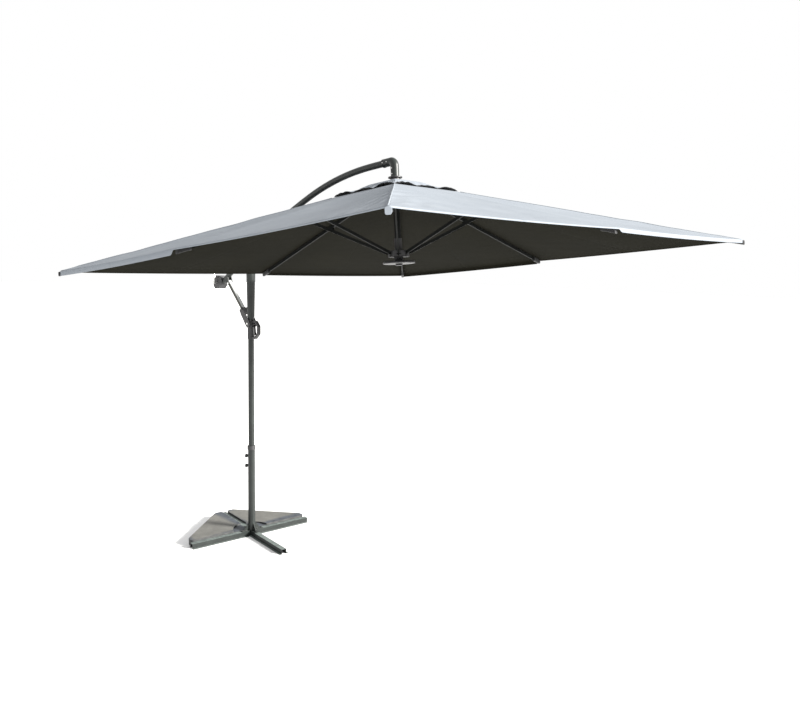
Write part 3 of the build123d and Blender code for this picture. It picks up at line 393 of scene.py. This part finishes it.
# Painted highlight: the legs' upward faces, the foot flanges and top edges, are almost fully covered in a pale
# greenish-blue that stands for the sky's reflection.
leg_coat_painted_highlight = powder_coat("leg_coat_painted_highlight", *ANTHRACITE, dust=(0.21, 0.25, 0.235), dust_and_sheen_amount=0.95)
rib_coat_painted_shade = powder_coat("rib_coat_painted_shade", *RIB_PAINTED_SHADE, roughness=0.55, dust_and_sheen_amount=0.0, specular=0.08)
black_plastic = moulded("black_plastic", *BLACK, roughness=0.5)
gloss_plastic = moulded("gloss_plastic", *BLACK, roughness=0.16, grain=60.0, strength=0.04)
cover_plastic = moulded("cover_plastic", *BLACK, roughness=0.42, grain=60.0, strength=0.04)
cover_plastic.node_tree.nodes["Principled BSDF"].inputs["Specular IOR Level"].default_value = 0.22
strut_painted_highlight = strut_highlight_finish("tilt_strut_faces")
bright_steel = brushed("zinc_steel", (0.72, 0.72, 0.70), 0.26, (1, 1, 1), 300.0)
slab = slab_plastic("slab_casing")
stone = cast_stone("ballast")
top_cloth = woven("canopy_top", (0.168, 0.187, 0.212), (0.195, 0.214, 0.239), 0.8, sheen=0.0)
# Painted shade: the underside is the same grey cloth as the top, made near-black to stand for the shade under
# the canopy.
underside_painted_shade = woven("canopy_underside_painted_shade", (0.0062, 0.006, 0.0038), (0.0095, 0.0091, 0.006), 0.9, sheen=0.0,
                    specular=0.05)
seam_cloth = woven("ridge_seam", (0.20, 0.22, 0.245), (0.235, 0.255, 0.28), 0.8, weave=0.0016, sheen=0.0)
# Dark binding for the rib pockets and the vent cap's rim; on the vent cap's underside the same near-black
# cloth is painted shade.
dark_binding_and_painted_shade = woven("dark_binding_and_painted_shade", (0.010, 0.010, 0.011), (0.022, 0.022, 0.023), 0.8, weave=0.0016)
mesh_cloth = netting("vent_netting")

NODE_FINISH = {
    "long_leg": leg_coat_painted_highlight, "front_leg": leg_coat_painted_highlight, "back_leg": leg_coat_painted_highlight, "stand_pipe": coat, "base_bolts": coat,
    "slab_casing_left": slab, "slab_casing_right": slab, "slab_concrete": stone, "stand_collar": black_plastic,
    "knob_upper": black_plastic, "knob_lower": black_plastic, "mast_tube": coat, "mast_head": coat,
    "arm_pin": bright_steel, "arm_tube": coat, "strut_pin": bright_steel, "tilt_strut": strut_painted_highlight,
    "strut_fork": black_plastic, "crank_housing_left": black_plastic, "crank_housing_right": black_plastic,
    "slider_body": black_plastic, "slider_handle": black_plastic, "slider_pins": bright_steel,
    "slider_lever": gloss_plastic, "crank_shaft": bright_steel, "winding_drum": black_plastic,
    "crank_arm": bright_steel, "crank_grip": black_plastic, "elbow": coat, "elbow_screws": bright_steel,
    "elbow_pulley": black_plastic, "crown_flange": black_plastic, "crown_hub": black_plastic,
    "centre_pole": rib_coat_painted_shade, "lower_hub": black_plastic, "hub_cover": cover_plastic,
}
for number in range(1, RIB_COUNT + 1):
    NODE_FINISH[f"rib_{number}"] = rib_coat_painted_shade
    NODE_FINISH[f"strut_{number}"] = rib_coat_painted_shade


def dress(node, finish):
    """Give a CAD node its procedural material."""
    shown = frame["nodes"][node]
    if not shown.material_slots:
        shown.data.materials.append(finish)
    for place in shown.material_slots:
        place.material = finish


# =================================================================================================
# The canopy's own frame, from the joints
# =================================================================================================
JOINTS = {joint["name"]: joint for joint in frame["joints"]}
FOLD = {number: "canopy_fold" if number == 1 else f"rib_{number}_fold" for number in range(1, RIB_COUNT + 1)}


def canopy_matrix():
    """Frame at the crown's pivots: x to the outer side, z along the centre pole."""
    outer, inner = Vector(JOINTS[FOLD[1]]["pos_m"]), Vector(JOINTS[FOLD[5]]["pos_m"])
    x_axis = (outer - inner).normalized()
    y_axis = Vector(JOINTS[FOLD[1]]["axis"])
    z_axis = x_axis.cross(y_axis)
    return Matrix.Translation((outer + inner) / 2) @ Matrix((x_axis, y_axis, z_axis)).transposed().to_4x4()


CANOPY = canopy_matrix()


def face_to_canopy(azimuth, u, side, z):
    """Point on one side of the canopy, from its distance out, its sideways place and its height."""
    a = radians(azimuth)
    return Vector((u * cos(a) - side * sin(a), u * sin(a) + side * cos(a), z))


def azimuth_of(number):
    """Azimuth of a rib in the canopy's frame, in degrees."""
    return 45.0 * (number - 1)


def is_corner(number):
    """True for the four long ribs."""
    return number % 2 == 0


def smooth(value, low, high):
    """0 below low, 1 above high, smooth between."""
    share = min(max((value - low) / (high - low), 0.0), 1.0)
    return share * share * (3 - 2 * share)


def side_columns(number):
    """Columns of a panel as (azimuth of the side it lies on, sideways ratio), from one cut to the other."""
    azimuth = azimuth_of(number)
    half = COLUMNS // 2
    steps = [(i / half) for i in range(half + 1)]
    if is_corner(number):
        first = [(azimuth - 45, 1 - 0.5 * (1 - s) ** 1.25) for s in steps]
        return first + [(azimuth + 45, -ratio) for _, ratio in reversed(first[:-1])]
    spread = [0.5 * s ** 1.3 for s in steps]
    return [(azimuth, -ratio) for ratio in reversed(spread[1:])] + [(azimuth, ratio) for ratio in spread]


# =================================================================================================
# Main sheet: one surface, cut into eight pieces that fold with their ribs
# =================================================================================================
def cloth_wrinkles(point):
    """Soft tension folds that run out from the crown, and tighter ones beside the corner ridges."""
    radius = sqrt(point.x ** 2 + point.y ** 2)
    around = Vector((point.x, point.y, 0)).normalized()
    fans = noise.noise(Vector((around.x * 7, around.y * 7, radius * 0.7)))
    long_folds = 0.0022 * fans * smooth(radius, 0.4, 1.3)
    ridge = abs(abs(point.x) - abs(point.y)) / max(radius, 0.01)
    near_ridge = (1 - smooth(ridge, 0.04, 0.32)) * smooth(radius, 0.5, 1.0)
    along = (abs(point.x) + abs(point.y)) * 0.5
    across = abs(point.x) - abs(point.y)
    place = Vector((along * 9 + across * 16, across * 5 - along * 3, 4.0 * (point.y > 0) + point.x))
    crumple = noise.noise(place)
    return long_folds + 0.0035 * crumple * near_ridge * smooth(1.45, 1.2, 1.45)


def sheet_height(u, ratio):
    """Height of the main sheet: a four-sided peak that hangs a little between its eight ribs."""
    between = sin(pi * abs(ratio)) ** 0.85
    amount = smooth(u, 0.25, 0.8) * (1 - 0.55 * smooth(u, 1.1, CANOPY_HALF))
    return APEX - RISE * u - SAG * between * amount


def edge_at(ratio):
    """Distance out to the edge: it bows inwards between the tips of the ribs."""
    return CANOPY_HALF - EDGE_BOW * sin(pi * abs(ratio))


def hem_drop(azimuth, ratio):
    """How far the hem hangs: it is longer on the halves beside two of the four corners."""
    face = azimuth % 360
    place = ratio * CANOPY_HALF * (1 if face < 180 else -1)
    return HEM_DROP + (HEM_LOW[face] - HEM_DROP) * smooth(place, 0.0, HEM_STEP)


def trimmed(point, limit):
    """Take the point of a corner off, square to the ridge."""
    reach = abs(point.x) + abs(point.y)
    if reach > limit:
        point.x *= limit / reach
        point.y *= limit / reach
    return point


def panel_section(azimuth, ratio):
    """Closed outline of the cloth in one column: out over the top, round the hem and back underneath."""
    edge = edge_at(ratio)
    outs = [VENT_HOLE + (edge - VENT_HOLE) * i / ROWS for i in range(ROWS + 1)]
    limit = 2 * CANOPY_HALF - CORNER_CUT
    top = [trimmed(face_to_canopy(azimuth, u, u * ratio, sheet_height(u, ratio)), limit) for u in outs]
    for point in top:
        point.z += cloth_wrinkles(point) * (1 - smooth(max(abs(point.x), abs(point.y)), 1.42, 1.5))
    under = [point - Vector((0, 0, CLOTH)) for point in top]
    rim = sheet_height(edge, ratio)
    low = rim - hem_drop(azimuth, ratio)
    hem = []
    for inset, height in ((-0.0006, rim - 0.0015), (-0.0008, low + 0.0015), (0.0002, low), (0.0022, low),
                          (0.0034, low + 0.0015), (0.0036, rim - 0.004)):
        u = edge - inset
        hem.append(trimmed(face_to_canopy(azimuth, u, u * ratio, height), limit - inset))
    for index, u in enumerate(outs):
        if u > edge - HEM_WIDTH:
            under[index].z -= 0.0011
    last = edge - 0.004
    under[-1] = trimmed(face_to_canopy(azimuth, last, last * ratio, rim - 0.0035), limit - 0.004)
    return top + hem + list(reversed(under)), outs


def tucked(edge, inner):
    """Outline a little past a cut and inside the neighbouring piece, so that the cut doesn't show."""
    last = len(edge) - 1
    return [point + (point - inner[i]).normalized() * TUCK + (edge[last - i] - point) * 0.25
            for i, point in enumerate(edge)]


def with_tucks(columns, uvs):
    """Add a tucked outline at both ends of a row of outlines."""
    count = len(columns[0])
    ends = [tucked(columns[0], columns[1])], [tucked(columns[-1], columns[-2])]
    return ends[0] + columns + ends[1], uvs[:count] + uvs + uvs[-count:]


def shell(name, columns, material_of, uvs):
    """Closed mesh through a row of closed outlines, with flat ends."""
    count = len(columns[0])
    points = [CANOPY @ point for column in columns for point in column]
    faces, slots = [], []
    for c in range(len(columns) - 1):
        for i in range(count):
            j = (i + 1) % count
            faces.append((c * count + i, c * count + j, (c + 1) * count + j, (c + 1) * count + i))
            slots.append(material_of(i))
    for c in (0, len(columns) - 1):
        for i in range(count // 2 - 1):
            face = (c * count + i, c * count + i + 1, c * count + count - 2 - i, c * count + count - 1 - i)
            faces.append(face if c else tuple(reversed(face)))
            slots.append(material_of(count - 1))
    mesh = bpy.data.meshes.new(name)
    mesh.from_pydata(points, [], faces)
    mesh.polygons.foreach_set("material_index", slots)
    layer = mesh.uv_layers.new(name="cloth")
    for loop in mesh.loops:
        layer.data[loop.index].uv = uvs[loop.vertex_index]
    walls = (len(columns) - 1) * count
    mesh.polygons.foreach_set("use_smooth", [index < walls for index in range(len(mesh.polygons))])
    outward = bmesh.new()
    outward.from_mesh(mesh)
    bmesh.ops.recalc_face_normals(outward, faces=outward.faces)
    outward.to_mesh(mesh)
    outward.free()
    piece = bpy.data.objects.new(name, mesh)
    bpy.context.scene.collection.objects.link(piece)
    mesh.update()
    return piece


def fold_with_rib(piece, number):
    """Ride on a rib, with a mesh of its own."""
    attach(piece, f"rib_{number}")
    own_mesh(piece)


def make_panel(number):
    """One eighth of the main sheet."""
    columns, uvs = [], []
    for azimuth, ratio in side_columns(number):
        section, outs = panel_section(azimuth, ratio)
        columns.append(section)
        hem = [(outs[-1] + 0.002 * i, outs[-1] * ratio) for i in range(len(section) - 2 * len(outs))]
        cloth = [(u, u * ratio) for u in outs]
        uvs += cloth + hem + list(reversed(cloth))
    columns, uvs = with_tucks(columns, uvs)
    piece = shell(f"canopy_sheet_{number}", columns, lambda i: 0 if i <= ROWS + 2 else 1, uvs)
    # Slot 1, the underside and the inside of the hem, takes the painted-shade cloth.
    for finish in (top_cloth, underside_painted_shade):
        piece.data.materials.append(finish)
    fold_with_rib(piece, number)
    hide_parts(f"canopy_panel_{number}")
    return piece


# =================================================================================================
# Vent: a small peak over the hole, tied down between its scallops, with dark netting under it
# =================================================================================================
def cap_height(u, ratio):
    """Height of the vent cap: its edge is held down at the ends of each scallop and puffs up between them."""
    share = (u - CAP_NECK) / (CAP_HALF - CAP_NECK)
    flat = CAP_APEX - CAP_RISE * u
    scallop = abs(sin(pi * SCALLOPS * (ratio + 1) / 2))
    which = min(int(SCALLOPS * (ratio + 1) / 2), SCALLOPS - 1)
    puff = 0.8 + 0.6 * noise.noise(Vector((which * 2.3 + 0.4, 1.7, 0.5)))
    rim = sheet_height(CAP_HALF, ratio) + 0.004 + CAP_LIFT * puff * scallop ** 0.8
    blend = smooth(share, 0.25, 1.0)
    crease = 0.006 * noise.noise(Vector((u * 30, ratio * 8, 2.0))) * smooth(share, 0.2, 0.7)
    return flat * (1 - blend) + rim * blend + crease


def layered(name, number, rows, low, high, height, thickness, finishes):
    """Sheet piece over one rib, between two distances out."""
    columns, uvs = [], []
    for azimuth, ratio in side_columns(number):
        outs = [low + (high - low) * i / rows for i in range(rows + 1)]
        top = [face_to_canopy(azimuth, u, u * ratio, height(u, ratio)) for u in outs]
        under = [point - Vector((0, 0, thickness)) for point in top]
        columns.append(top + list(reversed(under)))
        uvs += [(u, u * ratio) for u in outs] + [(u, u * ratio) for u in reversed(outs)]
    columns, uvs = with_tucks(columns, uvs)
    piece = shell(name, columns, lambda i: 0 if i < rows - 1 else 1 if i <= rows + 1 else 2, uvs)
    for finish in finishes:
        piece.data.materials.append(finish)
    fold_with_rib(piece, number)
    return piece


def net_height(u, ratio):
    """The netting climbs from the edge of the hole to the inside of the cap."""
    foot = sheet_height(VENT_HOLE, ratio) - 0.004
    share = (VENT_HOLE + 0.008 - u) / 0.05
    lift = cap_height(u, ratio) - 0.005 - foot
    return foot + lift * smooth(share, 0.0, 1.0)


# =================================================================================================
# Bindings and pockets
# =================================================================================================
def strip(name, number, path, half_width, thickness, finish, section=6):
    """Rounded tape along a path in a rib's upright plane, given as (distance out, height)."""
    a = radians(azimuth_of(number))
    out, sideways = Vector((cos(a), sin(a), 0)), Vector((-sin(a), cos(a), 0))
    columns, uvs = [], []
    for r, z in path:
        loop = []
        for i in range(2 * section):
            angle = pi * i / section
            drop = RISE * 0.7071 * abs(half_width * cos(angle))
            loop.append(out * r + sideways * (half_width * cos(angle))
                        + Vector((0, 0, z - drop + thickness * sin(angle))))
        columns.append(loop)
        uvs += [(r, half_width * cos(pi * i / section)) for i in range(2 * section)]
    piece = shell(name, columns, lambda i: 0, uvs)
    piece.data.materials.append(finish)
    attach(piece, f"rib_{number}")
    return piece


def ridge_tape(number):
    """Light tape over the seam on a corner ridge."""
    steps = 60
    reach = CANOPY_HALF - CORNER_CUT / 2
    outs = [CAP_HALF + 0.01 + (reach - CAP_HALF - 0.01) * i / steps for i in range(steps + 1)]
    path = []
    for u in outs:
        point = face_to_canopy(azimuth_of(number) - 45, u, u, 0)
        path.append((u * sqrt(2), sheet_height(u, 1.0) + cloth_wrinkles(point) * (u < 1.42) + 0.0016))
    return strip(f"ridge_tape_{number}", number, path, 0.003, 0.0013, seam_cloth)


def rib_end(number):
    """Distance out to a rib's end, in the canopy's frame."""
    inverse = CANOPY.inverted()
    a = radians(azimuth_of(number))
    out = Vector((cos(a), sin(a), 0))
    return max((inverse @ vertex.co).dot(out) for vertex in frame["nodes"][f"rib_{number}"].data.vertices)


def pocket(number):
    """Sewn fabric pocket round the end of a rib, under the sheet."""
    extra = CORNER_CAP if is_corner(number) else 0.0
    reach, length = rib_end(number) + extra, POCKET_LENGTH + extra
    slope = CORNER_RIB_SLOPE if is_corner(number) else MID_RIB_SLOPE
    a = radians(azimuth_of(number))
    out, sideways = Vector((cos(a), sin(a), 0)), Vector((-sin(a), cos(a), 0))
    columns, uvs = [], []
    for i in range(9):
        share = i / 8
        r = reach - length * (1 - share) - 0.001
        centre = -slope * (r - RIB_PIVOT_R) - 0.0015
        wide, tall = 0.0125 - 0.001 * share, 0.0145 - 0.001 * share
        if i == 0:
            wide, tall = wide + 0.002, tall + 0.0015
        loop = []
        for j in range(20):
            angle = 2 * pi * j / 20
            x = wide * abs(cos(angle)) ** 0.5 * (1 if cos(angle) >= 0 else -1)
            z = tall * abs(sin(angle)) ** 0.5 * (1 if sin(angle) >= 0 else -1)
            top = sheet_height(r if not is_corner(number) else r / sqrt(2), 0.0) - 0.0015
            loop.append(out * r + sideways * x + Vector((0, 0, min(centre + z, top))))
        columns.append(loop)
        uvs += [(r, j * 0.003) for j in range(20)]
    piece = shell(f"rib_pocket_{number}", columns, lambda i: 0, uvs)
    piece.data.materials.append(top_cloth if number == PALE_POCKET else dark_binding_and_painted_shade)
    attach(piece, f"rib_{number}")
    return piece


def make_canopy():
    """All the soft pieces."""
    for number in range(1, RIB_COUNT + 1):
        make_panel(number)
        # The vent cap's underside takes the near-black cloth as painted shade; its last top row is a thin dark
        # rim.
        layered(f"vent_cap_{number}", number, 40, CAP_NECK, CAP_HALF, cap_height, CLOTH,
                (top_cloth, dark_binding_and_painted_shade, dark_binding_and_painted_shade))
        layered(f"vent_net_{number}", number, 10, VENT_HOLE - 0.045, VENT_HOLE + 0.008, net_height, 0.0008,
                (mesh_cloth, mesh_cloth, mesh_cloth))
        pocket(number)
        if is_corner(number):
            ridge_tape(number)


make_camera()
make_floor()
make_light()
for node_name, node_finish in NODE_FINISH.items():
    dress(node_name, node_finish)
make_canopy()
